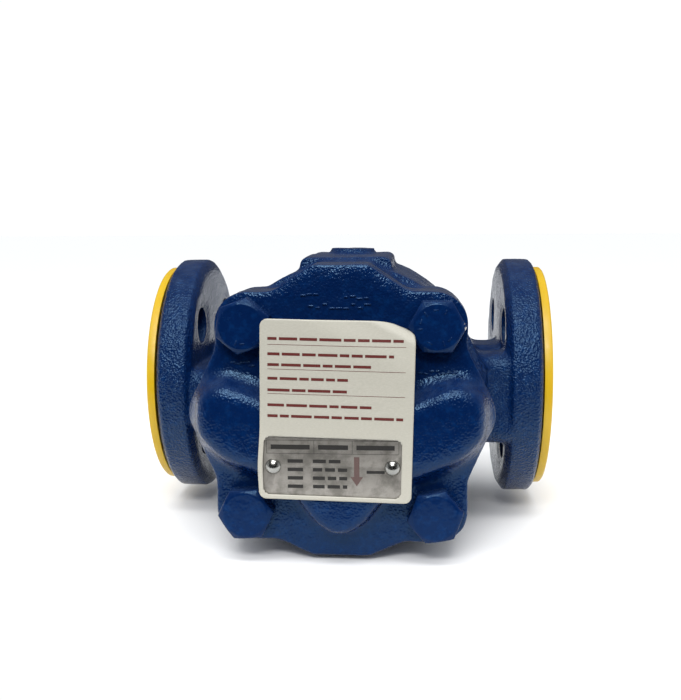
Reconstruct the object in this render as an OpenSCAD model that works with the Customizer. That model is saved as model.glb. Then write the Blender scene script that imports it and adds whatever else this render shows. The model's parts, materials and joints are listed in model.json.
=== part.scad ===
// Flanged ball-float steam trap with its float mechanism carried on the front cover.
// +X is the flow direction, -Y the cover side and +Z up, in millimetres.
// The origin is the centre of the inlet flange's bolting face.

/* [Flanges] */
// Distance between the two raised faces
face_to_face = 150; // [148:0.5:154]
// Outer diameter of each pipe flange
flange_d = 96.4; // [95:0.1:98]
// Thickness of the rim, without the raised face
flange_t = 12; // [11:0.5:13]
// Extra thickness of the flange inside its rim
flange_rise = 1.4; // [1.2:0.1:1.6]
// Diameter of the raised sealing face
raised_d = 45; // [40:1:45]
// Height of the raised sealing face
raised_h = 2; // [1:0.5:2]
// Bolt circle diameter of the pipe flanges
bolt_circle_d = 65; // [64:0.5:66]
// Diameter of the four flange holes
flange_hole_d = 14; // [12:0.5:14]
// Diameter of the nut pockets behind the flange holes
nut_pocket_d = 22.4; // [20:0.1:23]
// Bore of the inlet and outlet
port_d = 15; // [13:0.5:16]

/* [Body] */
// Outer radius of the float chamber's shell
shell_r = 51.3; // [50.5:0.1:52]
// Height of the shell's axis
shell_z = -2; // [-3:0.5:-1]
// Wall thickness of the shell
wall = 6.8; // [6:0.1:7]
// Rearmost point of the shell
shell_back_y = 38; // [37:0.5:42]
// Rounding of the shell's rear edge
shell_corner_r = 24; // [20:1:26]
// Front face of the body's cover flange
joint_face_y = -65; // [-66:0.5:-65]
// Thickness of the body's cover flange
body_flange_t = 15; // [14:0.5:16]
// Radius of the opening behind the cover
opening_r = 36.5; // [36:0.1:36.8]
// Depth of that opening before the chamber widens
opening_depth = 22; // [22:0.5:24]
// Width of the flat pad on top
boss_w = 34; // [30:1:36]
// Height of the flat pad's top
boss_top_z = 51.3; // [50.5:0.1:53]
// Diameter of the round disc on that pad
disc_d = 18; // [14:1:20]
// Height of the round disc
disc_h = 2; // [1:0.5:3]

/* [Cover] */
// Thickness of the cover at its rim
cover_t = 12; // [11:0.5:13]
// Height of the shield-shaped middle above the rim
shield_h = 9; // [8:0.5:9]
// Width of the shield's sloping edge
shield_slope = 3.5; // [2:0.5:4]
// Thickness of the joint between body and cover
gasket_t = 1.5; // [1:0.1:2]
// Half the spacing of the cover bolts across the trap
bolt_dx = 32.5; // [32:0.1:33]
// Height of the upper cover bolts
bolt_upper_z = 29.5; // [29:0.1:30]
// Height of the lower cover bolts
bolt_lower_z = -35.5; // [-36:0.1:-35]
// Radius of the lobe around each cover bolt
lobe_r = 11.2; // [10.5:0.1:12]
// Diameter of the outlet passage between body and cover
passage_d = 9; // [8:0.5:9]
// Distance of that passage from the middle
passage_x = 44.5; // [44:0.1:45]

/* [Cover bolts] */
// Thread diameter
bolt_d = 10; // [9:0.5:10]
// Length under the head
bolt_l = 30; // [28:0.5:30]
// Width of the hexagon across its flats
bolt_af = 17; // [16:0.5:18]
// Height of the head
bolt_head_h = 6.4; // [5:0.1:7]

/* [Nameplate and label] */
// Width of the nameplate
plate_w = 48; // [44:0.5:49]
// Height of the nameplate
plate_h = 21.6; // [20:0.1:23]
// Thickness of the nameplate
plate_t = 0.6; // [0.4:0.1:1]
// Distance between the two rivets
rivet_pitch = 40; // [36:0.5:41]
// Width of the card label
label_w = 51; // [50.5:0.1:54]
// Height of the card label
label_h = 61; // [55:0.5:64]
// Thickness of the card label
label_t = 0.4; // [0.3:0.1:0.6]

/* [Flange caps] */
// Diameter of the protection caps
cap_d = 89.8; // [88:0.1:92]
// Wall thickness of the caps
cap_t = 1.5; // [1:0.1:1.6]
// Depth of the caps' rings
cap_ring = 1.6; // [1:0.1:1.6]
// How far the inlet cap stands off its seat
cap_gap = 0.7; // [0:0.1:0.8]

/* [Float mechanism] */
// Outer radius of the ball float
float_r = 28; // [26:0.5:28]
// Wall thickness of the ball float
float_wall = 0.8; // [0.6:0.1:1.2]
// Distance of the float's centre behind the pivot
float_reach = 45; // [43:0.5:46]
// Height of the float's centre below the pivot
float_drop = 8; // [6:0.5:9]
// Position of the pivot along Y
pivot_y = -46; // [-46.5:0.1:-45.5]
// Height of the pivot
pivot_z = -6; // [-6:0.1:-5.8]
// Diameter of the pivot pin
pin_d = 4; // [3:0.1:4]
// Height of the valve seat's axis
seat_z = -20; // [-20:0.1:-19.8]
// Diameter of the valve seat's orifice
orifice_d = 5.5; // [4:0.1:6]
// Thread diameter of the valve seat
seat_d = 12; // [11:0.1:12]

/* [Air vent] */
// Height of the air vent's axis
vent_z = 16; // [16:0.1:17]
// Radius of the vent's capsule
capsule_r = 13.5; // [12:0.1:13.5]
// Thickness of the vent's capsule
capsule_t = 7; // [5:0.5:7]
// Thread diameter of the vent's seat
vent_seat_d = 10; // [9:0.1:10]
// Diameter of the vent's orifice
vent_orifice_d = 3.5; // [3:0.1:4]

/* [Hidden] */
$fn = 96;
e = 0.01;

paint = [0.09, 0.21, 0.42];
steel = [0.72, 0.72, 0.70];
bright = [0.82, 0.82, 0.80];
graphite = [0.16, 0.16, 0.17];
yellow = [0.93, 0.76, 0.05];
card = [0.88, 0.87, 0.82];

// Middle plane of the trap, halfway between the raised faces
mid_x = face_to_face / 2 - raised_h;
flange_in = face_to_face / 2 - raised_h - flange_t;
chamber_r = shell_r - wall;
chamber_back_y = shell_back_y - wall;
flange_back_y = joint_face_y + body_flange_t;
opening_z = (bolt_upper_z + bolt_lower_z) / 2;

cover_back_y = joint_face_y - gasket_t;
cover_front_y = cover_back_y - cover_t;
shield_y = cover_front_y - shield_h;
duct_y = cover_back_y - 9.5;
vent_duct_y = cover_back_y - 6;
plate_front_y = shield_y - plate_t;
plate_x = -2;
plate_z = -17.2;
label_x = -1;
label_z = 1.8;
window_w = plate_w - 2;
window_h = plate_h - 1.6;

// The cover bolts' places, as X and Z from the middle
BOLTS = [for (x = [-bolt_dx, bolt_dx], z = [bolt_lower_z, bolt_upper_z]) [x, z]];
bolt_clear_d = bolt_d + 1;
tap_depth = bolt_l - cover_t - gasket_t + 1.5;

// The float mechanism, along Y from the cover's inner face
seat_boss_y = cover_back_y + 6;
seat_gasket_t = 0.8;
seat_hex_y = seat_boss_y + seat_gasket_t;
seat_hex_t = 3.5;
seat_face_y = seat_hex_y + seat_hex_t + 2.5;
head_r = 4.2;
head_gap = 0.3;
head_y = seat_face_y + sqrt(head_r * head_r - orifice_d * orifice_d / 4) + head_gap;
arm_y = pivot_y - 1.5;
arm_t = 2;
frame_y = cover_back_y + 2;
frame_t = 2;
ear_x = 9;
ear_t = 2;
screw_x = 16;
screw_z = -3;
lever_l = norm([float_reach, float_drop]);
lever_angle = atan2(-float_drop, float_reach);
float_neck = 1.7;
deflector_y = seat_boss_y - 20.5;

// The air vent, along Y from the cover's inner face
vent_boss_y = cover_back_y + 3.5;
vent_gasket_t = 0.7;
vent_hex_y = vent_boss_y + vent_gasket_t;
vent_face_y = vent_hex_y + 4.8;
vent_ball_r = 2.6;
vent_travel = 1.5;
vent_ball_y = vent_face_y + sqrt(vent_ball_r * vent_ball_r - vent_orifice_d * vent_orifice_d / 4)
              + vent_travel + 0.2;
capsule_y = cover_back_y + 16.5;
clip_x = 14.6;
clip_w = 5;
clip_t = 1.2;
clip_screw_x = clip_x + clip_t + 2.8;

// Points of an arc that rounds the corner b between a and c with radius r
arc_steps = 8;
function unit(v) = v / norm(v);
function corner_arc(a, b, c, r) =
    let (u = unit(a - b), w = unit(c - b), half = acos(u * w) / 2,
         o = b + unit(u + w) * r / sin(half),
         p = b + u * r / tan(half) - o, q = b + w * r / tan(half) - o,
         start = atan2(p.y, p.x),
         turn = (atan2(q.y, q.x) - start + 540) % 360 - 180)
    [for (i = [0:arc_steps]) o + r * [cos(start + turn * i / arc_steps),
                                      sin(start + turn * i / arc_steps)]];
// A closed outline from corners given as x, y and rounding radius
function rounded(c) =
    let (n = len(c), p = [for (k = c) [k.x, k.y]])
    [for (i = [0:n - 1]) each corner_arc(p[(i + n - 1) % n], p[i], p[(i + 1) % n], c[i][2])];

// Right half of the joint's outline, from the top hump down to the bottom hump
HALF_OUTLINE = [[9.3, 49.9, 3], [23, bolt_upper_z + lobe_r, 9],
                [bolt_dx + lobe_r, bolt_upper_z + lobe_r, lobe_r], [42.8, 21.5, 10],
                [54, -1, 12], [43.6, -24, 10],
                [bolt_dx + lobe_r, bolt_lower_z - lobe_r, lobe_r],
                [22, bolt_lower_z - lobe_r + 0.5, 9], [9.5, -51.8, 3]];
OUTLINE = concat(HALF_OUTLINE,
                 [for (i = [len(HALF_OUTLINE) - 1:-1:0])
                     [-HALF_OUTLINE[i].x, HALF_OUTLINE[i].y, HALF_OUTLINE[i][2]]]);

// Flat tops of the shield's shoulder and of its tongue
SHOULDER = [[0, -6], [40, 8.5], [46.5, 5], [47, -7], [39, -14.5], [22, -21], [0, -24]];
TONGUE = [[-21, -17], [21, -17], [12, -28], [7, -35.5], [2, -39], [-2, -39], [-7, -35.5], [-12, -28]];

// Extrudes a shape drawn in X and Z from y0 forwards to y1, about the middle plane
module slab(y0, y1) {
    translate([mid_x, y0, 0]) rotate([90, 0, 0]) linear_extrude(y0 - y1) children();
}

// Extrudes a shape drawn in Y and Z between x0 and x1, measured from the middle plane
module run_x(x0, x1) {
    translate([mid_x + x0, 0, 0]) rotate([90, 0, 90]) linear_extrude(x1 - x0) children();
}

// A round bar along Y at x, z, from y0 back to y1
module rod_y(x, z, y0, y1, d) {
    translate([mid_x + x, y0, z]) rotate([-90, 0, 0]) cylinder(d = d, h = y1 - y0);
}

// A round bar along X between x0 and x1, at y, z
module rod_x(x0, x1, y, z, d) {
    translate([mid_x + x0, y, z]) rotate([0, 90, 0]) cylinder(d = d, h = x1 - x0);
}

// A ring along Y
module ring_y(x, z, y0, y1, d_in, d_out) {
    difference() {
        rod_y(x, z, y0, y1, d_out);
        rod_y(x, z, y0 - 1, y1 + 1, d_in);
    }
}

// A hexagonal prism along Y with a corner pointing along X
module hex_y(x, z, y0, y1, af) {
    translate([mid_x + x, y0, z]) rotate([-90, 0, 0]) cylinder(d = af / cos(30), h = y1 - y0, $fn = 6);
}

// A solid of revolution about Y, drawn as radius and depth, with its rear edge rounded
module drum_y(z, y0, y1, r, round_r) {
    depth = y1 - y0;
    translate([mid_x, y0, z]) rotate([-90, 0, 0]) rotate_extrude() {
        square([r, depth - round_r]);
        square([r - round_r, depth]);
        translate([r - round_r, depth - round_r]) intersection() {
            circle(r = round_r);
            square(round_r);
        }
    }
}

module joint_shape() {
    polygon(rounded(OUTLINE));
}

// One pipe flange with its raised face, its outside facing -X
module pipe_flange() {
    bevel = 1.5;
    back_edge = 3.5;
    r = flange_d / 2;
    rotate([0, 90, 0]) rotate_extrude() polygon([
        [0, -raised_h], [raised_d / 2, -raised_h], [raised_d / 2, 0], [r - bevel, 0], [r, bevel],
        [r, flange_t - 1], [r - back_edge, flange_t + flange_rise], [0, flange_t + flange_rise]]);
}

// Nut pockets and holes of one pipe flange, its outside facing -X
module flange_holes() {
    pocket_x = flange_t + flange_rise - 0.5;
    pocket_l = 22.5 - pocket_x;
    for (a = [45:90:315]) rotate([a, 0, 0]) translate([0, 0, bolt_circle_d / 2]) rotate([0, 90, 0]) {
        translate([0, 0, -raised_h - 1]) cylinder(d = flange_hole_d, h = pocket_x + raised_h + 2);
        translate([0, 0, pocket_x]) cylinder(d = nut_pocket_d, h = pocket_l);
    }
}

// The two flanges' places: the second is the first mirrored in the middle plane
module at_both_ends() {
    children();
    translate([2 * mid_x, 0, 0]) mirror([1, 0, 0]) children();
}

module body_outside() {
    drum_y(shell_z, flange_back_y - 5, shell_back_y, shell_r, shell_corner_r);
    slab(flange_back_y, joint_face_y) joint_shape();
    for (b = BOLTS) rod_y(b.x, b.y, flange_back_y - 1, joint_face_y + tap_depth + 3, 2 * lobe_r - 5);
    at_both_ends() pipe_flange();
    // Inlet neck, with its rib towards the cover flange
    rod_x(-flange_in - 1, -40, 0, 0, 26);
    run_x(-flange_in - 1, -38) polygon(rounded([[-46, 8, 5], [2, 8, 5], [2, -15, 6], [-46, -15, 6]]));
    // Outlet neck, which widens forwards around the passage to the cover
    rod_x(40, flange_in + 1, 0, 0, 29);
    run_x(35, flange_in + 1) polygon(rounded([[-46, 14.5, 5], [0, 14.5, 5], [0, -20, 6], [-46, -20, 6]]));
    slab(flange_back_y + 20, flange_back_y - 1) polygon(rounded([
        [30, 14.2, 3], [51.8, 14.2, 5], [51.8, -19.6, 5], [30, -19.6, 3]]));
    slab(flange_back_y + 20, flange_back_y - 1) polygon(rounded([
        [-30, 7.7, 3], [-51.8, 7.7, 5], [-51.8, -14.6, 5], [-30, -14.6, 3]]));
    // Flat pad and round disc on top
    slab(4, flange_back_y - 1) polygon(rounded([
        [-boss_w / 2, 30, 2], [-boss_w / 2, boss_top_z, 3], [boss_w / 2, boss_top_z, 3], [boss_w / 2, 30, 2]]));
    translate([mid_x, -8, boss_top_z - 1]) cylinder(d = disc_d, h = disc_h + 1);
}

// The float chamber, less the walls that stand around the outlet passage
module chamber() {
    difference() {
        union() {
            drum_y(shell_z, joint_face_y + opening_depth, chamber_back_y, chamber_r,
                   shell_corner_r - wall);
            rod_y(0, opening_z, joint_face_y - 1, joint_face_y + opening_depth + 1, 2 * opening_r);
        }
        rod_y(passage_x, 0, joint_face_y - 2, 12, passage_d + 6);
        rod_x(passage_x - 10, passage_x + 20, 0, 0, port_d + 8);
    }
}

module body() color(paint) {
    difference() {
        body_outside();
        chamber();
        at_both_ends() flange_holes();
        rod_x(-face_to_face / 2 - 1, -chamber_r + 8, 0, 0, port_d);
        rod_x(passage_x - 5.5, face_to_face / 2 + 1, 0, 0, port_d);
        rod_y(passage_x, 0, joint_face_y - 1, 0, passage_d);
        for (b = BOLTS) rod_y(b.x, b.y, joint_face_y - 1, joint_face_y + tap_depth, bolt_d);
    }
}

// One raised piece of the cover's shield, from its flat top out to the foot of its slope
module shield_piece(top) {
    step = 0.5;
    hull() {
        slab(cover_front_y + 1, cover_front_y) offset(r = shield_slope, $fn = 32) polygon(top);
        slab(shield_y + 2 * step, shield_y + step) offset(r = shield_slope / 2, $fn = 32) polygon(top);
        slab(shield_y + step, shield_y) polygon(top);
    }
}

// A straight drilling inside the cover, from x0, z0 to the outlet passage
module cover_duct(z0, y, d) {
    run = norm([passage_x, z0]);
    translate([mid_x, y, z0]) rotate([0, 90 - atan2(-z0, passage_x), 0]) cylinder(d = d, h = run);
}

module cover() color(paint) {
    screw_d = 5;
    difference() {
        union() {
            slab(cover_back_y, cover_front_y) joint_shape();
            intersection() {
                union() {
                    shield_piece(SHOULDER);
                    shield_piece([for (p = SHOULDER) [-p.x, p.y]]);
                    shield_piece(TONGUE);
                }
                slab(cover_front_y + 2, shield_y - 1) joint_shape();
            }
            rod_y(0, seat_z, cover_back_y - 1, seat_boss_y, 22);
            rod_y(0, vent_z, cover_back_y - 1, vent_boss_y, 18);
            for (s = [-1, 1]) rod_y(s * screw_x, screw_z, cover_back_y - 1, frame_y, 12);
        }
        for (b = BOLTS) rod_y(b.x, b.y, cover_front_y - 1, cover_back_y + 1, bolt_clear_d);
        rod_y(0, seat_z, deflector_y, seat_boss_y + 1, seat_d);
        rod_y(0, vent_z, cover_back_y - 9, vent_boss_y + 1, vent_seat_d);
        rod_y(passage_x, 0, duct_y - 5, cover_back_y + 1, passage_d);
        cover_duct(seat_z, duct_y, 8);
        cover_duct(vent_z, vent_duct_y, 4);
        for (s = [-1, 1]) rod_y(s * screw_x, screw_z, frame_y - 9, frame_y + 1, screw_d);
        for (s = [-1, 1]) rod_y(s * clip_screw_x, vent_z, cover_back_y - 6, cover_back_y + 1, 3);
        for (s = [-1, 1])
            rod_y(plate_x + s * rivet_pitch / 2, plate_z, shield_y - 1, shield_y + 5, 2.4);
    }
}

module cover_gasket() color(graphite) {
    difference() {
        slab(joint_face_y, cover_back_y) joint_shape();
        rod_y(0, opening_z, cover_back_y - 1, joint_face_y + 1, 2 * opening_r);
        rod_y(passage_x, 0, cover_back_y - 1, joint_face_y + 1, passage_d);
        for (b = BOLTS) rod_y(b.x, b.y, cover_back_y - 1, joint_face_y + 1, bolt_clear_d);
    }
}

// One hexagon-head bolt along +Y with the outer edge of its head chamfered
module hex_bolt(x, z, turn) {
    r_corner = bolt_af / 2 / cos(30);
    r_front = bolt_af / 2 - 0.9;
    run = bolt_head_h + 1;
    translate([mid_x + x, cover_front_y, z]) rotate([-90, turn, 0]) {
        intersection() {
            translate([0, 0, -bolt_head_h]) cylinder(r = r_corner, h = bolt_head_h, $fn = 6);
            translate([0, 0, -bolt_head_h]) cylinder(r1 = r_front, r2 = r_front + run / tan(30), h = run);
        }
        translate([0, 0, -e]) cylinder(d = bolt_d, h = bolt_l - 1 + e);
        translate([0, 0, bolt_l - 1]) cylinder(d1 = bolt_d, d2 = bolt_d - 2, h = 1);
    }
}

module cover_bolts() color(paint) {
    hex_bolt(-bolt_dx, bolt_upper_z, 40);
    hex_bolt(bolt_dx, bolt_upper_z, 0);
    hex_bolt(-bolt_dx, bolt_lower_z, -4);
    hex_bolt(bolt_dx, bolt_lower_z, -10);
}

// Corners of a rectangle with rounded corners about x, z
function box_corners(x, z, w, h, r) =
    rounded([[x - w / 2, z - h / 2, r], [x + w / 2, z - h / 2, r],
             [x + w / 2, z + h / 2, r], [x - w / 2, z + h / 2, r]]);

module nameplate() color(steel) {
    difference() {
        slab(shield_y, plate_front_y) polygon(box_corners(plate_x, plate_z, plate_w, plate_h, 3));
        for (s = [-1, 1])
            rod_y(plate_x + s * rivet_pitch / 2, plate_z, plate_front_y - 1, shield_y + 1, 2.4);
    }
}

module nameplate_rivets() color(bright) {
    head_h = 1.5;
    head_d = 5.4;
    ball_r = (head_h * head_h + head_d * head_d / 4) / (2 * head_h);
    for (s = [-1, 1]) {
        x = plate_x + s * rivet_pitch / 2;
        rod_y(x, plate_z, plate_front_y - e, shield_y + 4.5, 2.4);
        intersection() {
            translate([mid_x + x, plate_front_y - head_h + ball_r, plate_z]) sphere(r = ball_r);
            rod_y(x, plate_z, plate_front_y - head_h - 1, plate_front_y, 2 * ball_r);
        }
    }
}

module instruction_label() color(card) {
    slab(plate_front_y, plate_front_y - label_t) difference() {
        polygon(box_corners(label_x, label_z, label_w, label_h, 2.5));
        polygon(box_corners(plate_x, plate_z, window_w, window_h, 2.5));
    }
}

// A moulded cap over one raised face: a plate with an outer rim and an inner snap ring
module flange_cap() color(yellow) {
    front = raised_h + 0.3 + cap_t;
    plate = raised_h + 0.3;
    lip = plate - cap_ring;
    r = cap_d / 2;
    snap_r = raised_d / 2 + 0.3;
    rotate([0, 90, 0]) rotate_extrude() polygon([
        [0, -front], [r - 0.5, -front], [r, 0.5 - front], [r, -lip], [r - cap_t, -lip],
        [r - cap_t, -plate], [snap_r + cap_t, -plate], [snap_r + cap_t, -lip], [snap_r, -lip],
        [snap_r, -plate], [0, -plate]]);
}

module inlet_flange_cap() translate([-cap_gap, 0, 0]) flange_cap();

module outlet_flange_cap() translate([2 * mid_x, 0, 0]) mirror([1, 0, 0]) flange_cap();

module valve_seat() color(steel) {
    difference() {
        union() {
            rod_y(0, seat_z, seat_boss_y - 9.5, seat_hex_y + e, seat_d);
            hex_y(0, seat_z, seat_hex_y, seat_hex_y + seat_hex_t, 17);
            rod_y(0, seat_z, seat_hex_y + seat_hex_t - e, seat_face_y, 11);
        }
        rod_y(0, seat_z, seat_boss_y - 10, seat_face_y + 1, orifice_d);
        rod_y(0, seat_z, seat_boss_y - 10, seat_boss_y, 8);
    }
}

module valve_seat_gasket() color(graphite)
    ring_y(0, seat_z, seat_boss_y, seat_hex_y, seat_d, 18);

module erosion_deflector() color(steel) rod_y(0, seat_z, deflector_y, deflector_y + 1.5, seat_d);

module pivot_frame() color(steel) {
    plate_l = 42;
    ear_h = 10;
    ear_end_y = pivot_y + 5;
    difference() {
        union() {
            translate([mid_x - plate_l / 2, frame_y, screw_z - 6]) cube([plate_l, frame_t, 12]);
            for (s = [0, 1]) mirror_x(s) translate([mid_x + ear_x, frame_y, pivot_z - ear_h / 2])
                cube([ear_t, ear_end_y - frame_y, ear_h]);
        }
        rod_x(-ear_x - 5, ear_x + 5, pivot_y, pivot_z, pin_d);
        for (s = [-1, 1]) rod_y(s * screw_x, screw_z, frame_y - 1, frame_y + frame_t + 1, 5);
    }
}

// Mirrors about the middle plane when s is 1
module mirror_x(s) {
    translate([mid_x, 0, 0]) mirror([s, 0, 0]) translate([-mid_x, 0, 0]) children();
}

module frame_screws() color(bright) {
    head_h = 3.5;
    for (s = [-1, 1]) {
        rod_y(s * screw_x, screw_z, frame_y - 8, frame_y + frame_t + e, 5);
        hex_y(s * screw_x, screw_z, frame_y + frame_t, frame_y + frame_t + head_h, 8);
    }
}

module pivot_pin() color(bright) rod_x(-14, 14, pivot_y, pivot_z, pin_d);

module pivot_pin_clips() color(steel) {
    for (s = [0, 1]) mirror_x(s) difference() {
        rod_x(ear_x + ear_t, ear_x + ear_t + 1, pivot_y, pivot_z, 9);
        rod_x(ear_x, ear_x + ear_t + 2, pivot_y, pivot_z, pin_d);
    }
}

module float_lever() color(steel) {
    difference() {
        union() {
            rod_x(-8.3, 8.3, pivot_y, pivot_z, 8);
            translate([mid_x - 5, arm_y, seat_z - 5]) cube([10, arm_t, pivot_z - seat_z + 5]);
            translate([mid_x, pivot_y, pivot_z]) rotate([lever_angle, 0, 0]) {
                translate([-4, 0, -1.5]) cube([8, 12, 3]);
                rotate([-90, 0, 0]) translate([0, 0, 8])
                    cylinder(d = 5, h = lever_l - float_r - float_neck - 8);
            }
        }
        rod_x(-10, 10, pivot_y, pivot_z, pin_d + 0.1);
        rod_y(0, seat_z, arm_y - 1, arm_y + arm_t + 1, 5);
    }
}

// A hollow ball with the stub that the lever is welded to
module ball_float() color(bright) {
    translate([mid_x, pivot_y, pivot_z]) rotate([lever_angle, 0, 0]) difference() {
        union() {
            translate([0, lever_l, 0]) sphere(r = float_r);
            rotate([-90, 0, 0]) translate([0, 0, lever_l - float_r - float_neck])
                cylinder(d = 10, h = float_neck + float_wall / 2);
        }
        translate([0, lever_l, 0]) sphere(r = float_r - float_wall);
    }
}

// A ball with a flat shoulder against the lever and a stem through it
module valve_head() color(bright) {
    difference() {
        translate([mid_x, head_y, seat_z]) sphere(r = head_r);
        rod_y(0, seat_z, arm_y, head_y + head_r + 1, 2 * head_r + 2);
    }
    rod_y(0, seat_z, head_y, arm_y, 7);
    rod_y(0, seat_z, arm_y - e, arm_y + arm_t + 2, 5);
}

module valve_head_clip() color(steel)
    ring_y(0, seat_z, arm_y + arm_t, arm_y + arm_t + 1, 5, 9);

module vent_seat() color(steel) {
    difference() {
        union() {
            rod_y(0, vent_z, cover_back_y - 4.5, vent_hex_y + e, vent_seat_d);
            hex_y(0, vent_z, vent_hex_y, vent_hex_y + 3.3, 14);
            rod_y(0, vent_z, vent_hex_y + 3.3 - e, vent_face_y, 8);
        }
        rod_y(0, vent_z, cover_back_y - 6, vent_face_y + 1, vent_orifice_d);
    }
}

module vent_seat_gasket() color(graphite)
    ring_y(0, vent_z, vent_boss_y, vent_hex_y, vent_seat_d, 16);

// A flat sealed capsule with a raised rim and a socket for the valve's stem
module vent_capsule() color(bright) {
    rim = 1.2;
    translate([mid_x, capsule_y, vent_z]) rotate([-90, 0, 0]) rotate_extrude() polygon([
        [0, 3.5], [1.6, 3.5], [1.6, 0], [5, 0], [6, 1], [capsule_r - 2, 1.8], [capsule_r - 1, capsule_t / 2 - rim],
        [capsule_r, capsule_t / 2 - rim], [capsule_r, capsule_t / 2 + rim], [capsule_r - 1, capsule_t / 2 + rim],
        [capsule_r - 2, capsule_t - 0.8], [6, capsule_t], [0, capsule_t]]);
}

module vent_valve() color(bright) {
    translate([mid_x, vent_ball_y, vent_z]) sphere(r = vent_ball_r);
    rod_y(0, vent_z, vent_ball_y, capsule_y + 3, 3);
}

// A sprung strap that holds the capsule off the cover
module vent_clip() color(steel) {
    back_y = capsule_y + capsule_t;
    foot = clip_screw_x - clip_x + 2;
    difference() {
        for (s = [0, 1]) mirror_x(s) {
            translate([mid_x + clip_x, cover_back_y, vent_z - clip_w / 2])
                cube([clip_t, back_y - cover_back_y + clip_t, clip_w]);
            translate([mid_x + clip_x, cover_back_y, vent_z - clip_w / 2]) cube([foot + 1, clip_t, clip_w]);
            translate([mid_x - e, back_y, vent_z - clip_w / 2]) cube([clip_x + clip_t, clip_t, clip_w]);
        }
        for (s = [-1, 1])
            rod_y(s * clip_screw_x, vent_z, cover_back_y - 1, cover_back_y + clip_t + 1, 3);
    }
}

module vent_clip_screws() color(bright) {
    for (s = [-1, 1]) {
        rod_y(s * clip_screw_x, vent_z, cover_back_y - 5.5, cover_back_y + clip_t + e, 3);
        rod_y(s * clip_screw_x, vent_z, cover_back_y + clip_t, cover_back_y + clip_t + 2, 5);
    }
}

body();
cover();
cover_gasket();
cover_bolts();
nameplate();
nameplate_rivets();
instruction_label();
inlet_flange_cap();
outlet_flange_cap();
valve_seat();
valve_seat_gasket();
erosion_deflector();
pivot_frame();
frame_screws();
pivot_pin();
pivot_pin_clips();
float_lever();
ball_float();
valve_head();
valve_head_clip();
vent_seat();
vent_seat_gasket();
vent_capsule();
vent_valve();
vent_clip();
vent_clip_screws();
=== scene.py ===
# Looks of the flanged ball-float steam trap: painted castings, label, nameplate, caps and the works inside.
# Everything is in metres in the part's own frame: +X along the pipe, -Y towards the cover, +Z up.
import json
import math
import random

import bmesh
import bpy
import numpy as np
from mathutils import Matrix, Vector, noise


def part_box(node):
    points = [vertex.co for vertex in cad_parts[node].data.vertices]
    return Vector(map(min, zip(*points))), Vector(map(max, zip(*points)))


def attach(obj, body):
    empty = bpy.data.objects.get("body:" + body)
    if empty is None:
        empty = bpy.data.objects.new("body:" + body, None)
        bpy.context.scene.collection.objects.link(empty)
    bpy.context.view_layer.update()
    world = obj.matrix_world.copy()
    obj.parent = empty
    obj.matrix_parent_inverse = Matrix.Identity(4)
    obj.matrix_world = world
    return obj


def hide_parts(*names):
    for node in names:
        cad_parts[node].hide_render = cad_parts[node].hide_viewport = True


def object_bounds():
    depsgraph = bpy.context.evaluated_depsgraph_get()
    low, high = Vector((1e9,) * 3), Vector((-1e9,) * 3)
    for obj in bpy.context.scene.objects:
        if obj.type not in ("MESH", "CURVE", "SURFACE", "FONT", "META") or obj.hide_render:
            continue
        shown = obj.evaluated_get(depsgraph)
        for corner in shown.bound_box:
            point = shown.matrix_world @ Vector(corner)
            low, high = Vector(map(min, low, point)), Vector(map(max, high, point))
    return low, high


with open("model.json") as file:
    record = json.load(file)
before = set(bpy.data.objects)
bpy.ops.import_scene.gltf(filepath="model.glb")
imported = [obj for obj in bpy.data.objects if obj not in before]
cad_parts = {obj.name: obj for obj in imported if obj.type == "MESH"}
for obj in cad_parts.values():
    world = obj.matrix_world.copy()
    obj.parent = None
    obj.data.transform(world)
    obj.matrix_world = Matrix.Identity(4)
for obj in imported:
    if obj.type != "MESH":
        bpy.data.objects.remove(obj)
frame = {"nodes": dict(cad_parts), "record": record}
cad_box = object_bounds()
nodes = frame["nodes"]
scene = bpy.context.scene
MM = 0.001

# Places taken from the frame
BODY_LO, BODY_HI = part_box("body")
COVER_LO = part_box("cover")[0]
GASKET_LO, GASKET_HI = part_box("cover_gasket")
PLATE_LO, PLATE_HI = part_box("nameplate")
LABEL_LO, LABEL_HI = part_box("instruction_label")
BOLTS_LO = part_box("cover_bolts")[0]
MOUNTS = {m["name"]: m for m in frame["record"]["mounts"]}
MID_X = (BODY_LO.x + BODY_HI.x) / 2
JOINT_Y = GASKET_HI.y
COVER_BACK_Y = GASKET_LO.y
BOLT_CIRCLE_R = MOUNTS["inlet_flange_bolts"]["dims"]["pcd_mm"] / 2 * MM
FLANGE_HOLE_R = MOUNTS["inlet_flange_bolts"]["dims"]["hole_r_mm"] * MM
PORT_R = MOUNTS["inlet_port"]["dims"]["r_mm"] * MM


# ---------------------------------------------------------------- camera
def add_camera():
    """The photograph's viewpoint: a little right of the middle, above the pipe, looking down at the cover."""
    camera_at = Vector((0.0966, -0.3782, 0.0639))
    yaw, pitch, roll = (math.radians(a) for a in (-4.47, 8.12, 0.35))
    data = bpy.data.cameras.new("camera")
    data.sensor_width = 36.0
    data.lens = 46.2
    data.clip_start = 0.01
    camera = bpy.data.objects.new("camera", data)
    turn = (Matrix.Rotation(-yaw, 4, "Z") @ Matrix.Rotation(math.pi / 2 - pitch, 4, "X")
            @ Matrix.Rotation(-roll, 4, "Z"))
    camera.matrix_world = Matrix.Translation(camera_at) @ turn
    scene.collection.objects.link(camera)
    scene.camera = camera


# ---------------------------------------------------------------- small mesh tools
def new_object(name, mesh, material=None, smooth=True):
    obj = bpy.data.objects.new(name, mesh)
    scene.collection.objects.link(obj)
    if material:
        mesh.materials.clear()
        mesh.materials.append(material)
    mesh.polygons.foreach_set("use_smooth", [smooth] * len(mesh.polygons))
    return obj


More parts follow.
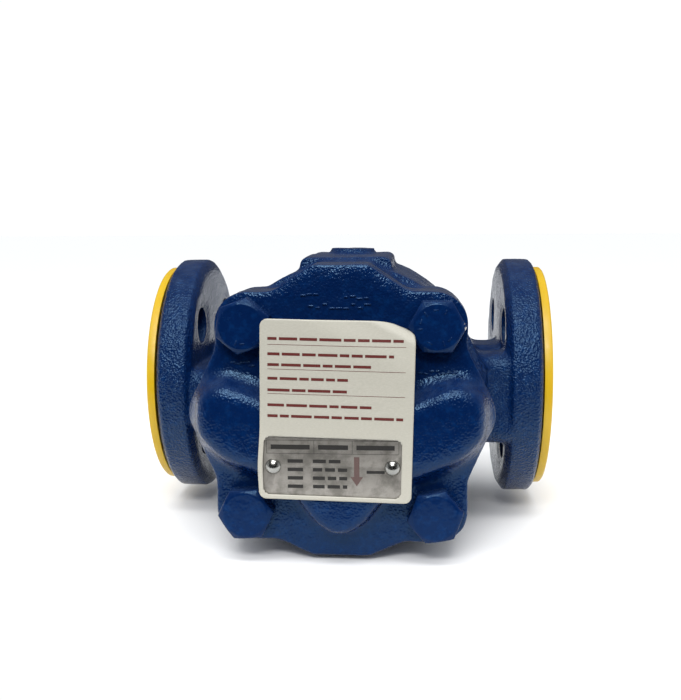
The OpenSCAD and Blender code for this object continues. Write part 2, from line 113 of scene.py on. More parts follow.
def welded_copy(node, name):
    """A copy of a CAD node with its faces joined into one skin."""
    mesh = nodes[node].data.copy()
    mesh.name = name
    bm = bmesh.new()
    bm.from_mesh(mesh)
    bmesh.ops.remove_doubles(bm, verts=bm.verts, dist=2e-6)
    bm.to_mesh(mesh)
    bm.free()
    for layer in list(mesh.uv_layers):
        mesh.uv_layers.remove(layer)
    return new_object(name, mesh)


def bake_modifiers(obj):
    """Applies an object's modifiers to its mesh."""
    graph = bpy.context.evaluated_depsgraph_get()
    made = bpy.data.meshes.new_from_object(obj.evaluated_get(graph))
    materials = list(obj.data.materials)
    obj.modifiers.clear()
    old = obj.data
    obj.data = made
    made.name = obj.name
    made.materials.clear()
    for m in materials:
        made.materials.append(m)
    bpy.data.meshes.remove(old)


def points_of(mesh):
    co = np.empty(len(mesh.vertices) * 3)
    mesh.vertices.foreach_get("co", co)
    return co.reshape(-1, 3)


def set_points(mesh, co):
    mesh.vertices.foreach_set("co", co.ravel())
    mesh.update()


def step(x, low, high):
    """Smooth step from 0 at low to 1 at high."""
    t = np.clip((x - low) / (high - low), 0, 1)
    return t * t * (3 - 2 * t)


def relax(mesh, share, rounds):
    """Rounds edges as foundry fillets do: each point moves towards its neighbours' middle, by its share."""
    co = points_of(mesh)
    edges = np.empty(len(mesh.edges) * 2, np.int64)
    mesh.edges.foreach_get("vertices", edges)
    a, b = edges.reshape(-1, 2).T
    count = np.bincount(a, minlength=len(co)) + np.bincount(b, minlength=len(co))
    for _ in range(rounds):
        total = np.stack([np.bincount(a, co[b, k], len(co)) + np.bincount(b, co[a, k], len(co))
                          for k in range(3)], axis=1)
        co += 0.5 * share[:, None] * (total / count[:, None] - co)
    set_points(mesh, co)


def roughen(mesh, share, waves):
    """Moves points along their normals by smooth noise. waves holds (height, wavelength) pairs in mm."""
    co = points_of(mesh)
    normals = np.empty(len(co) * 3)
    mesh.vertex_normals.foreach_get("vector", normals)
    rise = np.zeros(len(co))
    for height, wavelength in waves:
        scale = 1 / (wavelength * MM)
        rise += height * MM * np.array([noise.noise(Vector(p) * scale) for p in co])
    set_points(mesh, co + (rise * share)[:, None] * normals.reshape(-1, 3))


def refine(node, name, body, material, bevel=0.25, segments=3):
    """A CAD node with its sharp edges broken, standing for that node."""
    obj = welded_copy(node, name)
    obj.data.materials.clear()
    obj.data.materials.append(material)
    mod = obj.modifiers.new("edges", "BEVEL")
    mod.width = bevel * MM
    mod.segments = segments
    mod.limit_method = "ANGLE"
    mod.angle_limit = math.radians(32)
    mod.use_clamp_overlap = True
    mod.harden_normals = True
    bake_modifiers(obj)
    obj.data.polygons.foreach_set("use_smooth", [True] * len(obj.data.polygons))
    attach(obj, body)
    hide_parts(node)
    return obj


# ---------------------------------------------------------------- materials
class Shader:
    """A short way to write a node material in millimetre coordinates of the object."""

    def __init__(self, name):
        self.material = bpy.data.materials.new(name)
        self.material.use_nodes = True
        self.tree = self.material.node_tree
        self.bsdf = self.tree.nodes["Principled BSDF"]
        place = self.tree.nodes.new("ShaderNodeTexCoord")
        scale = self.tree.nodes.new("ShaderNodeVectorMath")
        scale.operation = "SCALE"
        scale.inputs["Scale"].default_value = 1 / MM
        self.tree.links.new(place.outputs["Object"], scale.inputs[0])
        self.mm = scale.outputs[0]

    def link(self, out, socket):
        self.tree.links.new(out, socket)

    def feed(self, socket, value):
        """Sets a socket to a number, a colour or another node's output."""
        if isinstance(value, bpy.types.NodeSocket):
            self.link(value, socket)
        elif isinstance(value, (tuple, list)) and len(value) == 3 and socket.type == "RGBA":
            socket.default_value = (*value, 1)
        else:
            socket.default_value = value

    def stretched(self, scale):
        node = self.tree.nodes.new("ShaderNodeVectorMath")
        node.operation = "MULTIPLY"
        self.link(self.mm, node.inputs[0])
        node.inputs[1].default_value = scale
        return node.outputs[0]

    def noise(self, wavelength, detail=3.0, rough=0.5, at=None):
        node = self.tree.nodes.new("ShaderNodeTexNoise")
        self.link(at or self.mm, node.inputs["Vector"])
        node.inputs["Scale"].default_value = 1 / wavelength
        node.inputs["Detail"].default_value = detail
        node.inputs["Roughness"].default_value = rough
        return node.outputs["Fac"]

    def cells(self, wavelength):
        node = self.tree.nodes.new("ShaderNodeTexVoronoi")
        node.feature = "SMOOTH_F1"
        self.link(self.mm, node.inputs["Vector"])
        node.inputs["Scale"].default_value = 1 / wavelength
        node.inputs["Smoothness"].default_value = 0.6
        return node.outputs["Distance"]

    def ramp(self, value, low, high, to_low=0.0, to_high=1.0):
        node = self.tree.nodes.new("ShaderNodeMapRange")
        node.interpolation_type = "SMOOTHSTEP"
        self.feed(node.inputs["Value"], value)
        for name, v in (("From Min", low), ("From Max", high), ("To Min", to_low), ("To Max", to_high)):
            node.inputs[name].default_value = v
        return node.outputs["Result"]

    def math(self, operation, a, b):
        node = self.tree.nodes.new("ShaderNodeMath")
        node.operation = operation
        self.feed(node.inputs[0], a)
        self.feed(node.inputs[1], b)
        return node.outputs[0]

    def mix(self, factor, a, b):
        node = self.tree.nodes.new("ShaderNodeMix")
        node.data_type = "RGBA"
        self.feed(node.inputs["Factor"], factor)
        self.feed(node.inputs["A"], a)
        self.feed(node.inputs["B"], b)
        return node.outputs["Result"]

    def attribute(self, name):
        node = self.tree.nodes.new("ShaderNodeAttribute")
        node.attribute_name = name
        return node.outputs["Fac"]

    def pointiness(self):
        return self.tree.nodes.new("ShaderNodeNewGeometry").outputs["Pointiness"]

    def upward(self):
        """1 on faces that look straight up, 0 on level or lower ones."""
        node = self.tree.nodes.new("ShaderNodeSeparateXYZ")
        self.link(self.tree.nodes.new("ShaderNodeNewGeometry").outputs["Normal"], node.inputs[0])
        return self.ramp(node.outputs["Z"], 0.2, 1.0)

    def bump(self, height, strength, distance):
        """Adds a bump, distance in millimetres, on top of those before it."""
        node = self.tree.nodes.new("ShaderNodeBump")
        node.inputs["Strength"].default_value = strength
        node.inputs["Distance"].default_value = distance * MM
        self.link(height, node.inputs["Height"])
        before = self.bsdf.inputs["Normal"].links
        if before:
            self.link(before[0].from_socket, node.inputs["Normal"])
        self.link(node.outputs["Normal"], self.bsdf.inputs["Normal"])

    def set(self, **values):
        names = {"color": "Base Color", "metal": "Metallic", "rough": "Roughness", "ior": "IOR",
                 "coat": "Coat Weight", "coat_rough": "Coat Roughness", "subsurface": "Subsurface Weight",
                 "subsurface_scale": "Subsurface Scale", "specular": "Specular IOR Level",
                 "specular_tint": "Specular Tint"}
        for key, value in values.items():
            self.feed(self.bsdf.inputs[names[key]], value)
        return self.material


def casting_paint(name, pebble, size, gloss, shine):
    """Thick navy gloss over sand-cast iron: pebbled skin, flow variation, chips to bare metal where marked.

    pebble is the bumps' strength, size their width in mm, gloss the roughness and shine the specular level.
    """
    s = Shader(name)
    deep = s.mix(s.noise(14, 4), (0.0006, 0.0085, 0.050), (0.0010, 0.0120, 0.064))
    mottled = s.mix(s.ramp(s.noise(2.2, 5, 0.6), 0.45, 0.75), deep, (0.0014, 0.018, 0.084))
    # Faces that look up get a lighter grey-blue: partly dust, partly a painted sheen standing for the pale
    # reflection that tops catch
    dust_and_sheen = s.math("MULTIPLY", s.upward(), s.ramp(s.noise(5, 5, 0.65), 0.35, 0.75, 0.03, 0.2))
    dusted_and_sheened = s.mix(dust_and_sheen, mottled, (0.07, 0.12, 0.22))
    thin = s.math("MULTIPLY", s.ramp(s.pointiness(), 0.53, 0.6),
                  s.ramp(s.noise(1.6, 5, 0.7), 0.52, 0.6, 0, 0.3))
    worn = s.mix(thin, dusted_and_sheened, (0.025, 0.055, 0.12))
    chip = s.ramp(s.math("ADD", s.attribute("chip"), s.noise(0.7, 5, 0.8)), 1.0, 1.06)
    s.set(color=s.mix(chip, worn, (0.5, 0.49, 0.47)), metal=s.ramp(chip, 0, 1, 0.0, 0.6),
          rough=s.ramp(s.noise(3, 4), 0.3, 0.7, gloss, gloss + 0.08), specular=shine, ior=1.5,
          specular_tint=(0.38, 0.68, 1.0))
    s.bump(s.noise(7, 2), 0.5, 0.5)
    s.bump(s.cells(size), pebble, 0.6)
    s.bump(s.noise(size * 0.5, 3, 0.55), pebble, 0.22)
    return s.material


def yellow_plastic():
    s = Shader("cap_plastic")
    base = s.mix(s.noise(18, 3), (0.52, 0.32, 0.002), (0.62, 0.40, 0.004))
    grime = s.ramp(s.noise(3, 6, 0.7), 0.6, 0.85, 0, 0.25)
    s.set(color=s.mix(grime, base, (0.5, 0.32, 0.05)), rough=s.ramp(s.noise(2, 4), 0.3, 0.7, 0.32, 0.46),
          ior=1.5, subsurface=0.08, subsurface_scale=0.002)
    s.bump(s.noise(0.5, 4), 0.15, 0.08)
    s.bump(s.noise(9, 2), 0.3, 0.3)
    return s.material


def metal(name, color, rough, brushed=(1, 1, 1), depth=0.03):
    """Bare steel with fine tool marks drawn out along one direction."""
    s = Shader(name)
    lines = s.noise(0.22, 3, 0.6, at=s.stretched(brushed))
    stain = s.noise(4, 5, 0.6)
    darker = tuple(c * 0.72 for c in color)
    s.set(color=s.mix(s.ramp(stain, 0.4, 0.75, 0, 0.7), color, darker), metal=1.0,
          rough=s.ramp(lines, 0.25, 0.75, rough - 0.06, rough + 0.1))
    s.bump(lines, 0.4, depth)
    return s.material


def graphite():
    s = Shader("graphite")
    s.set(color=s.mix(s.noise(0.8, 5), (0.02, 0.02, 0.022), (0.06, 0.06, 0.065)), rough=0.6)
    s.bump(s.noise(0.3, 4), 0.4, 0.1)
    return s.material


def card():
    """Cream coated card: faint fibres and a little handling grime."""
    s = Shader("label_card")
    fibre = s.noise(0.35, 4, 0.6, at=s.stretched((0.4, 1, 1.6)))
    paper = s.mix(s.ramp(fibre, 0.35, 0.7), (0.435, 0.42, 0.358), (0.478, 0.463, 0.40))
    smudge = s.ramp(s.noise(7, 5, 0.65), 0.58, 0.85, 0, 0.28)
    specks = s.ramp(s.noise(0.6, 3, 0.6), 0.74, 0.78, 0, 0.5)
    dirty = s.mix(smudge, paper, (0.36, 0.345, 0.285))
    s.set(color=s.mix(specks, dirty, (0.22, 0.2, 0.17)), rough=s.ramp(fibre, 0.3, 0.7, 0.38, 0.5), coat=0.12,
          coat_rough=0.3)
    s.bump(fibre, 0.15, 0.05)
    s.bump(s.noise(12, 2), 0.25, 0.5)
    return s.material


def ink(name, color, rough, patchy):
    s = Shader(name)
    light = tuple(min(1, c * 1.6 + 0.05) for c in color)
    s.set(color=s.mix(s.ramp(s.noise(0.5, 4, 0.7), 0.5, 0.8, 0, patchy), color, light), rough=rough)
    s.bump(s.noise(0.25, 3), 0.1, 0.02)
    return s.material


def etched_plate():
    """Dull stainless sheet with the blotches an etching bath leaves."""
    s = Shader("plate_steel")
    grain = s.noise(0.3, 3, 0.6, at=s.stretched((0.12, 1, 1.5)))
    blotch = s.noise(5, 5, 0.65)
    base = s.mix(s.ramp(blotch, 0.38, 0.68), (0.36, 0.34, 0.31), (0.20, 0.19, 0.17))
    s.set(color=s.mix(s.ramp(s.noise(1.1, 5, 0.7), 0.6, 0.8, 0, 0.5), base, (0.11, 0.10, 0.09)), metal=0.75,
          rough=s.ramp(grain, 0.3, 0.7, 0.36, 0.52))
    s.bump(grain, 0.3, 0.02)
    s.bump(s.noise(6, 3), 0.5, 0.25)
    return s.material


# ---------------------------------------------------------------- castings
def casting(node, name, voxel, material):
    """The CAD casting as one even skin, ready to be rounded and roughened."""
    obj = welded_copy(node, name)
    mod = obj.modifiers.new("skin", "REMESH")
    mod.mode = "VOXEL"
    mod.voxel_size = voxel * MM
    mod.adaptivity = 0
    bake_modifiers(obj)
    obj.data.materials.clear()
    obj.data.materials.append(material)
    obj.data.polygons.foreach_set("use_smooth", [True] * len(obj.data.polygons))
    return obj


def near_flange_holes(co):
    """1 on and beside the walls of the pipe flanges' holes, 0 away from them."""
    pitch = BOLT_CIRCLE_R / math.sqrt(2)
    apart = np.hypot(np.abs(co[:, 1]) - pitch, np.abs(co[:, 2]) - pitch)
    return 1 - step(apart, FLANGE_HOLE_R + 0.0004, FLANGE_HOLE_R + 0.002)


def make_body():
    obj = casting("body", "body_casting", 0.75, MATERIALS["body_paint"])
    co = points_of(obj.data)
    out = np.abs(co[:, 0] - MID_X)
    half = BODY_HI.x - MID_X
    rim = step(out, half - 0.0165, half - 0.0145)
    # Machined or sharp: flange faces and bevels, holes, ports, the joint face and the pad on top
    machined = 1 - step(out, half - 0.0055, half - 0.0045)
    machined *= 1 - rim * near_flange_holes(co) * 0.9
    machined *= step(np.hypot(co[:, 1], co[:, 2]), PORT_R + 0.0002, PORT_R + 0.001)
    machined *= step(co[:, 1], JOINT_Y + 0.0006, JOINT_Y + 0.002)
    pad = step(co[:, 2], BODY_HI.z - 0.006, BODY_HI.z - 0.004) * (1 - step(out, 0.019, 0.021))
    pad *= step(co[:, 1], JOINT_Y + 0.016, JOINT_Y + 0.019)
    relax(obj.data, np.clip(machined, 0.04, 1) * (1 - 0.75 * pad) * (1 - 0.7 * rim), 6)
    fillets = machined * (1 - rim) * (1 - pad) * step(co[:, 1], JOINT_Y + 0.016, JOINT_Y + 0.02)
    relax(obj.data, fillets, 22)
    roughen(obj.data, machined, ((0.3, 16), (0.12, 5), (0.04, 1.9)))
    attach(obj, "trap")
    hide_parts("body")


def make_cover():
    obj = casting("cover", "cover_casting", 0.5, MATERIALS["cover_paint"])
    co = points_of(obj.data)
    relax(obj.data, step(-co[:, 1], -COVER_BACK_Y + 0.001, -COVER_BACK_Y + 0.005), 14)
    co = points_of(obj.data)
    # The raised middle stands in front of the flange. Above its lower tongue it runs out in long fillets
    rim_y = COVER_BACK_Y - 0.012
    shield = step(-co[:, 1], -rim_y - 0.0008, -rim_y + 0.0006)
    relax(obj.data, shield, 30)
    relax(obj.data, shield * step(co[:, 2], -0.03, -0.018), 190)
    roughen(obj.data, step(-co[:, 1], -COVER_BACK_Y + 0.001, -COVER_BACK_Y + 0.006),
            ((0.25, 14), (0.1, 4.5), (0.03, 1.6)))
    y = COVER_LO.y
    mark_chips(obj.data, ((-0.0063, y + 0.0005, -0.0396, 0.0012), (-0.0112, y + 0.0008, -0.0345, 0.0010),
                          (-0.0046, y + 0.0012, -0.0418, 0.0009)))
    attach(obj, "trap")
    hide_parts("cover")
    return obj


def mark_chips(mesh, spots):
    """Marks where the paint is chipped: spots hold x from the middle, y, z and radius in metres."""
    co = points_of(mesh)
    value = np.zeros(len(co))
    for x, y, z, r in spots:
        value = np.maximum(value, np.exp(-(np.linalg.norm(co - (MID_X + x, y, z), axis=1) / r) ** 2))
    mesh.attributes.new("chip", "FLOAT", "POINT").data.foreach_set("value", value.astype(np.float32))


def surface_y(obj, x, z):
    """How far forward an object's front surface stands at x, z."""
    hit, at, _, _ = obj.ray_cast(Vector((x, -1.0, z)), Vector((0, 1, 0)))
    return at.y if hit else COVER_LO.y


def raised_marks(name, target, strokes, radius, proud, material):
    """Rounded bars standing out of a front surface. strokes hold x0, z0, x1, z1 in metres."""
    bm = bmesh.new()
    for x0, z0, x1, z1 in strokes:
        length = math.hypot(x1 - x0, z1 - z0)
        made = bmesh.ops.create_icosphere(bm, subdivisions=2, radius=radius)["verts"]
        along = Vector(((x1 - x0) / length, 0, (z1 - z0) / length))
        for v in made:
            side = v.co.dot(along)
            v.co += along * (math.copysign(length / 2, side) if abs(side) > 1e-9 else 0)
            v.co.x += (x0 + x1) / 2
            v.co.z += (z0 + z1) / 2
            v.co.y += surface_y(target, v.co.x, v.co.z) + radius - proud
    mesh = bpy.data.meshes.new(name)
    bm.to_mesh(mesh)
    bm.free()
    obj = new_object(name, mesh, material)
    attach(obj, "trap")


def mark_group(rng, x0, x1, z, height, tilt, count):
    """Strokes of a row of short level bars, none quite in line, between x0 and x1."""
    strokes = []
    for k in range(count):
        t = (k + 0.5) / count
        x, mid = x0 + (x1 - x0) * t, z + tilt * (t - 0.5)
        half = height * rng.uniform(0.22, 0.5)
        lift = height * rng.uniform(-0.3, 0.3)
        strokes.append((x - half * 0.6, mid + lift, x + half * 0.6, mid + lift))
    return strokes


def make_cast_marks(cover):
    """Short rows of cast-on bars, worn soft by the sand."""
    rng = random.Random(5)
    strokes = mark_group(rng, MID_X - 0.0134, MID_X - 0.0070, 0.0392, 0.0026, 0.0, 3)
    strokes += mark_group(rng, MID_X + 0.0010, MID_X + 0.0100, 0.0390, 0.0026, 0.0, 4)
    strokes += mark_group(rng, MID_X - 0.0110, MID_X + 0.0105, 0.0358, 0.0030, 0.0, 9)
    strokes += mark_group(rng, MID_X - 0.0375, MID_X - 0.0295, 0.0158, 0.0030, 0.0, 5)
    strokes += mark_group(rng, MID_X + 0.0262, MID_X + 0.0412, 0.0137, 0.0032, -0.0006, 8)
    raised_marks("cast_marks", cover, strokes, 0.42 * MM, 0.36 * MM, MATERIALS["cover_paint"])


# ---------------------------------------------------------------- label and nameplate
def clamp_to_corner(u, v, half_w, half_h, r):
    """Pulls points of a rectangle's grid that lie outside its rounded corners onto them."""
    cu, cv = half_w - r, half_h - r
    du, dv = np.abs(u) - cu, np.abs(v) - cv
    far = np.hypot(np.maximum(du, 0), np.maximum(dv, 0))
    outside = (du > 0) & (dv > 0) & (far > r)
    scale = np.where(outside, r / np.maximum(far, 1e-9), 1)
    return (np.where(outside, np.sign(u) * (cu + du * scale), u),
            np.where(outside, np.sign(v) * (cv + dv * scale), v), outside)


LABEL_TILT = math.radians(-1.3)
LABEL_MID = (LABEL_LO + LABEL_HI) / 2
PLATE_MID = (PLATE_LO + PLATE_HI) / 2
LABEL_Y = LABEL_LO.y


def bend_label(x, z):
    """Where a point of the flat label lies once the card has been handled: x, y and z in metres."""
    x, z = np.asarray(x, float), np.asarray(z, float)
    y = np.full_like(x, LABEL_Y)
    # The upper right corner curls back about a slanting line
    start, along = np.array((MID_X + 0.0095, 0.0316)), math.radians(-28)
    n = np.array((-math.sin(along), math.cos(along)))
    d = (x - start[0]) * n[0] + (z - start[1]) * n[1]
    radius, most = 0.0035, math.radians(84)
    angle = np.clip(d / radius, 0, most)
    flat = np.maximum(d - radius * most, 0)
    reach = radius * np.sin(angle) + flat * math.cos(most)
    back = radius * (1 - np.cos(angle)) + flat * math.sin(most)
    bent = d > 0
    x = np.where(bent, x - n[0] * (d - reach), x)
    z = np.where(bent, z - n[1] * (d - reach), z)
    y = y + np.where(bent, back, 0)
    # The card stands slightly proud above the nameplate, and its lower left edge lifts
    y = y - 0.0012 * step(z, PLATE_HI.z, 0.03) * (1 - step(d, -0.01, 0.001))
    lift = step(-x, -(MID_X - 0.0205), -(MID_X - 0.0275)) * np.exp(-((z + 0.0165) / 0.008) ** 2)
    y = y - 0.0009 * lift
    x = x - 0.0005 * lift
    return x, y, z


def turned(x, z, mid, tilt):
    dx, dz = x - mid.x, z - mid.z
    c, s = math.cos(tilt), math.sin(tilt)
    return mid.x + dx * c - dz * s, mid.z + dx * s + dz * c


def make_label():
    """The card as a fine grid with rounded corners and a window for the nameplate."""
    half_w, half_h = (LABEL_HI.x - LABEL_LO.x) / 2, (LABEL_HI.z - LABEL_LO.z) / 2
    corner = 0.0025
    rim = 0.001
    win = [PLATE_LO.x + rim, PLATE_HI.x - rim, PLATE_LO.z + 0.0008, PLATE_HI.z - 0.0008]
    cell = 0.0005

    def stations(*stops):
        parts = [np.linspace(a, b, max(2, round((b - a) / cell) + 1))[:-1] for a, b in zip(stops, stops[1:])]
        return np.concatenate([*parts, [stops[-1]]])

    xs = stations(LABEL_LO.x, win[0], win[1], LABEL_HI.x)
    zs = stations(LABEL_LO.z, win[2], win[3], LABEL_HI.z)
    gx, gz = np.meshgrid(xs, zs)
    u, v, out = clamp_to_corner((gx - LABEL_MID.x).ravel(), (gz - LABEL_MID.z).ravel(),
                                half_w, half_h, corner)
    x, z = u + LABEL_MID.x, v + LABEL_MID.z
    # Inside the window, keep only what lies beyond its rounded corners
    wm = ((win[0] + win[1]) / 2, (win[2] + win[3]) / 2)
    hw, hh = (win[1] - win[0]) / 2, (win[3] - win[2]) / 2
    wu, wv = x - wm[0], z - wm[1]
    _, _, beyond = clamp_to_corner(wu, wv, hw, hh, corner)
    inside = (np.abs(wu) < hw - 1e-7) & (np.abs(wv) < hh - 1e-7) & ~beyond
    cols, rows = len(xs), len(zs)
    faces = []
    for j in range(rows - 1):
        for i in range(cols - 1):
            a = j * cols + i
            quad = (a, a + 1, a + cols + 1, a + cols)
            if all(out[k] for k in quad):
                continue
            cu, cv = np.mean(wu[list(quad)]), np.mean(wv[list(quad)])
            du, dv = abs(cu) - (hw - corner), abs(cv) - (hh - corner)
            in_corner = du > 0 and dv > 0 and math.hypot(du, dv) > corner
            in_hole = abs(cu) < hw and abs(cv) < hh and not in_corner
            if not in_hole:
                faces.append(quad)
    used = sorted({k for f in faces for k in f})
    # Points of kept faces that reach into the hole's round corners move out onto them
    for k in used:
        if inside[k]:
            du, dv = abs(wu[k]) - (hw - corner), abs(wv[k]) - (hh - corner)
            far = math.hypot(max(du, 0), max(dv, 0))
            if du > 0 and dv > 0 and far > 1e-6:
                x[k] = wm[0] + math.copysign(hw - corner + du * corner / far, wu[k])
                z[k] = wm[1] + math.copysign(hh - corner + dv * corner / far, wv[k])
    index = {k: n for n, k in enumerate(used)}
    x, z = turned(x[used], z[used], PLATE_MID, LABEL_TILT)
    x, y, z = bend_label(x, z)
    mesh = bpy.data.meshes.new("label_card")
    mesh.from_pydata(list(zip(x, y, z)), [], [[index[k] for k in f] for f in faces])
    mesh.update()
    obj = new_object("label_card", mesh, MATERIALS["card"])
    thick = obj.modifiers.new("thickness", "SOLIDIFY")
    thick.thickness = 0.35 * MM
    thick.offset = -1
    bake_modifiers(obj)
    obj.data.polygons.foreach_set("use_smooth", [True] * len(obj.data.polygons))
    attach(obj, "trap")
    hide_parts("instruction_label")


class Marks:
    """Thin flat marks laid on a surface: print on card or etching on steel. They are bars, not letters."""

    def __init__(self, place):
        self.place = place
        self.points, self.faces = [], []

    def strip(self, x0, z0, x1, z1, width):
        """A bar of that width from one point to another, cut up along its length so that it can bend."""
        length = math.hypot(x1 - x0, z1 - z0)
        n = max(1, math.ceil(length / 0.0015))
        nx, nz = -(z1 - z0) / length * width / 2, (x1 - x0) / length * width / 2
        for i in range(n):
            ta, tb = i / n, (i + 1) / n
            corners = [(x0 + (x1 - x0) * t + s * nx, z0 + (z1 - z0) * t + s * nz)
                       for t, s in ((ta, -1), (tb, -1), (tb, 1), (ta, 1))]
            self.polygon(corners)

    def polygon(self, corners):
        start = len(self.points)
        self.points += corners
        self.faces.append(list(range(start, start + len(corners))))

    def row(self, x0, x1, z, height, rng, words):
        """A line of plain bars of uneven length, sitting where a line of print would."""
        x = x0
        while x < x1 - words[0] * MM / 2:
            end = min(x1, x + rng.uniform(*words) * MM)
            self.strip(x, z + height / 2, end, z + height / 2, height)
            x = end + 0.8 * height

    def build(self, name, material):
        x, z = np.array(self.points).T
        x, y, z = self.place(x, z)
        mesh = bpy.data.meshes.new(name)
        mesh.from_pydata(list(zip(x, y, z)), [], self.faces)
        mesh.update()
        obj = new_object(name, mesh, material, smooth=False)
        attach(obj, "trap")
        return obj


def make_label_print():
    """Maroon print: four blocks of lines between three thin rules."""
    def place(x, z):
        x, z = turned(x, z, PLATE_MID, LABEL_TILT)
        x, y, z = bend_label(x, z)
        return x, y - 0.04 * MM, z

    rng = random.Random(14)
    marks = Marks(place)
    left, right = LABEL_LO.x + 0.0026, LABEL_HI.x - 0.0034
    for z in (0.0239, 0.0157, 0.0074):
        marks.strip(left, z, right + 0.0004, z, 0.14 * MM)
    # Each line's height in metres and length in millimetres
    lines = ((0.0253, 44.5), (0.0202, 41.5), (0.0166, 34.5), (0.0120, 27.0), (0.0081, 26.5), (0.0030, 34.5),
             (-0.0007, 45.0))
    for z, length in lines:
        marks.row(left, left + length * MM, z + 0.0001, 0.95 * MM, rng, (2.5, 7.5))
    marks.build("label_print", MATERIALS["maroon_ink"])


def make_nameplate():
    """Steel sheet with etched lines: a header of three boxes, two columns of bars and a down arrow."""
    refine("nameplate", "nameplate_sheet", "trap", MATERIALS["plate"], bevel=0.15)
    y = PLATE_LO.y - 0.02 * MM

    def place(x, z):
        return x, np.full_like(x, y), z

    rng = random.Random(23)
    border = 0.0019
    marks = Marks(place)
    top, header = PLATE_HI.z - 0.0017, PLATE_HI.z - 0.0062
    x0, x1 = PLATE_LO.x + border, PLATE_HI.x - border
    boxes = [x0, x0 + 0.36 * (x1 - x0), x0 + 0.65 * (x1 - x0), x1]
    for z in (top, header):
        marks.strip(x0, z, x1, z, 0.12 * MM)
    for x in boxes:
        marks.strip(x, header, x, top, 0.12 * MM)
    for a, b in zip(boxes, boxes[1:]):
        marks.row(a + 0.0014, b - 0.0014, header + 0.0014, 1.6 * MM, rng, (20, 20))
    for k in range(4):
        z = header - 0.0032 - k * 0.0029
        marks.row(x0 + 0.0070, x0 + 0.0122, z, 1.2 * MM, rng, (5.2, 5.2))
        marks.row(x0 + 0.0155, x0 + 0.0270, z, 1.2 * MM, rng, (2.8, 5.5))
    for k, (a, b) in enumerate(((0.0335, 0.0395), (0.0355, 0.0375), (0.0350, 0.0380))):
        marks.row(x0 + a, x0 + b, header - 0.0066 - k * 0.0023, 1.0 * MM, rng, (6, 6))
    marks.build("nameplate_etching", MATERIALS["black_ink"])

    arrow = Marks(place)
    ax, shaft, head = x0 + 0.0302, 0.0009, 0.0021
    z_top, z_neck, z_tip = header - 0.0010, header - 0.0078, header - 0.0110
    arrow.polygon([(ax - shaft, z_top), (ax - shaft, z_neck), (ax + shaft, z_neck), (ax + shaft, z_top)])
    arrow.polygon([(ax - head, z_neck), (ax, z_tip), (ax + head, z_neck)])
    arrow.build("nameplate_arrow", MATERIALS["brown_ink"])


# ---------------------------------------------------------------- cover bolts
def make_bolts():
    """Hexagon heads under thick paint, chipped at two corners, with small dashes around the upper ones."""
    obj = casting("cover_bolts", "cover_bolt_set", 0.3, MATERIALS["bolt_paint"])
    co = points_of(obj.data)
    head_h = 0.0064
    head_back = BOLTS_LO.y + head_h
    front = step(-co[:, 1], -head_back - 0.0005, -head_back + 0.0005)
    relax(obj.data, front, 2)
    roughen(obj.data, front, ((0.05, 5), (0.025, 1.4)))
    y = BOLTS_LO.y
    mark_chips(obj.data, ((0.0416, y + 0.0016, 0.0290, 0.0011), (0.0409, y + 0.0014, 0.0305, 0.0009),
                          (0.0400, y + 0.0012, 0.0322, 0.0008), (0.0404, y + 0.0016, 0.0262, 0.0007),
                          (0.0418, y + 0.0022, 0.0274, 0.0008), (0.0402, y + 0.0014, -0.0342, 0.0007),
                          (0.0414, y + 0.0018, -0.0372, 0.0009)))
    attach(obj, "trap")
    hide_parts("cover_bolts")
    strokes = []
    right, left = (MID_X + 0.0325, 0.0295), (MID_X - 0.0325, 0.0295)
    for (cx, cz), angles in ((right, (62, 95, 130, 160, 186, 245, 292, 318)), (left, (250, 272))):
        for k, degrees in enumerate(angles):
            a = math.radians(degrees)
            r, half = 0.0057, 0.0007
            across = a + (math.pi / 2 if k % 2 else 0)
            x, z = cx + r * math.cos(a), cz + r * math.sin(a)
            dx, dz = half * math.cos(across), half * math.sin(across)
            strokes.append((x - dx, z - dz, x + dx, z + dz))
    raised_marks("bolt_marks", obj, strokes, 0.27 * MM, 0.2 * MM, MATERIALS["bolt_paint"])


# ---------------------------------------------------------------- stage
def add_lamp(name, at, width, height, radiance, target):
    """A soft box of that width and height whose surface has that radiance."""
    data = bpy.data.lights.new(name, "AREA")
    data.shape = "RECTANGLE"
    data.size = width
    data.size_y = height
    data.energy = radiance * math.pi * width * height
    lamp = bpy.data.objects.new(name, data)
    lamp.location = at
    lamp.rotation_euler = (Vector(target) - Vector(at)).to_track_quat("-Z", "Y").to_euler()
    scene.collection.objects.link(lamp)


